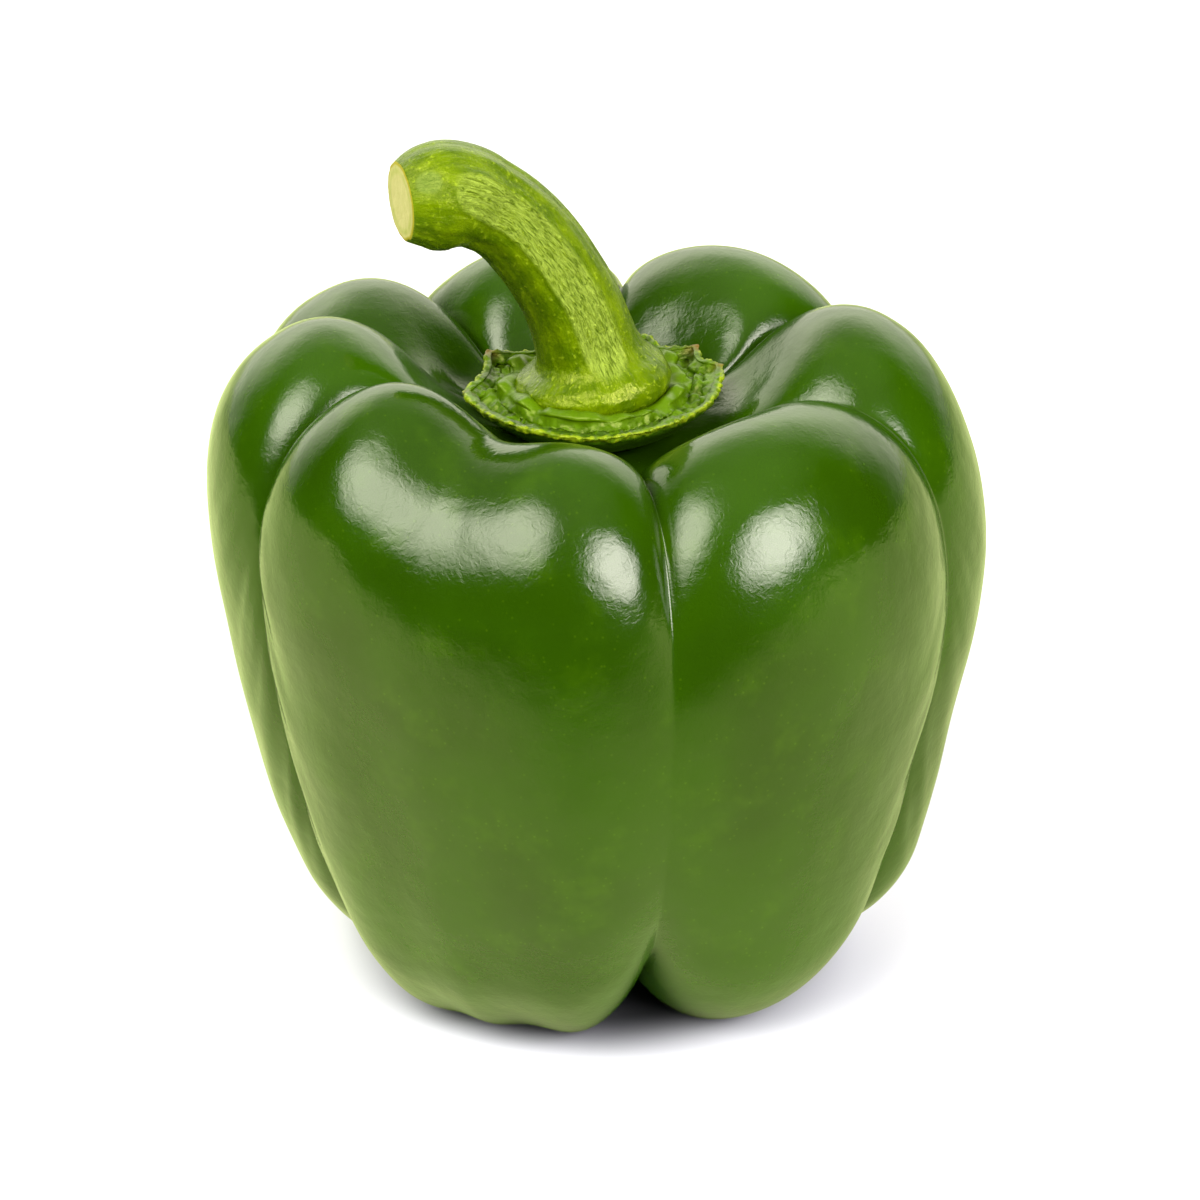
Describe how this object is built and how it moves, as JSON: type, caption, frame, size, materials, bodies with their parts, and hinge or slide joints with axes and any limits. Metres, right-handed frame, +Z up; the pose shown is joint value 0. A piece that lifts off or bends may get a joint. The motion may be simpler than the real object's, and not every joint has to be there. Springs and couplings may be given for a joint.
{
  "type": "green bell pepper",
  "caption": "Whole blocky green bell pepper with furrowed lobes, a toothed calyx in its top hollow and a bent, cut stem, standing on its lobe feet.",
  "frame": {"origin": "middle of the bounding box's bottom, on the surface the pepper stands on, close below the fruit's own axis", "axes": "+Z up along the fruit's axis towards the stem, -Y towards the double front lobe, -X towards the side the stem bends over"},
  "size_m": [0.0936, 0.0904, 0.1073],
  "materials": {
    "fruit_skin": "waxy glossy dark green pepper skin with paler patches",
    "calyx_green": "matt lumpy green leaf flesh with a yellow-green edge and brown tips",
    "stem_green": "satin yellow-green ribbed stem with a pale cut end"
  },
  "bodies": {
    "root": {"pepper_fruit": "fruit_skin", "calyx": "calyx_green", "stem": "stem_green"}
  },
  "joints": []
}
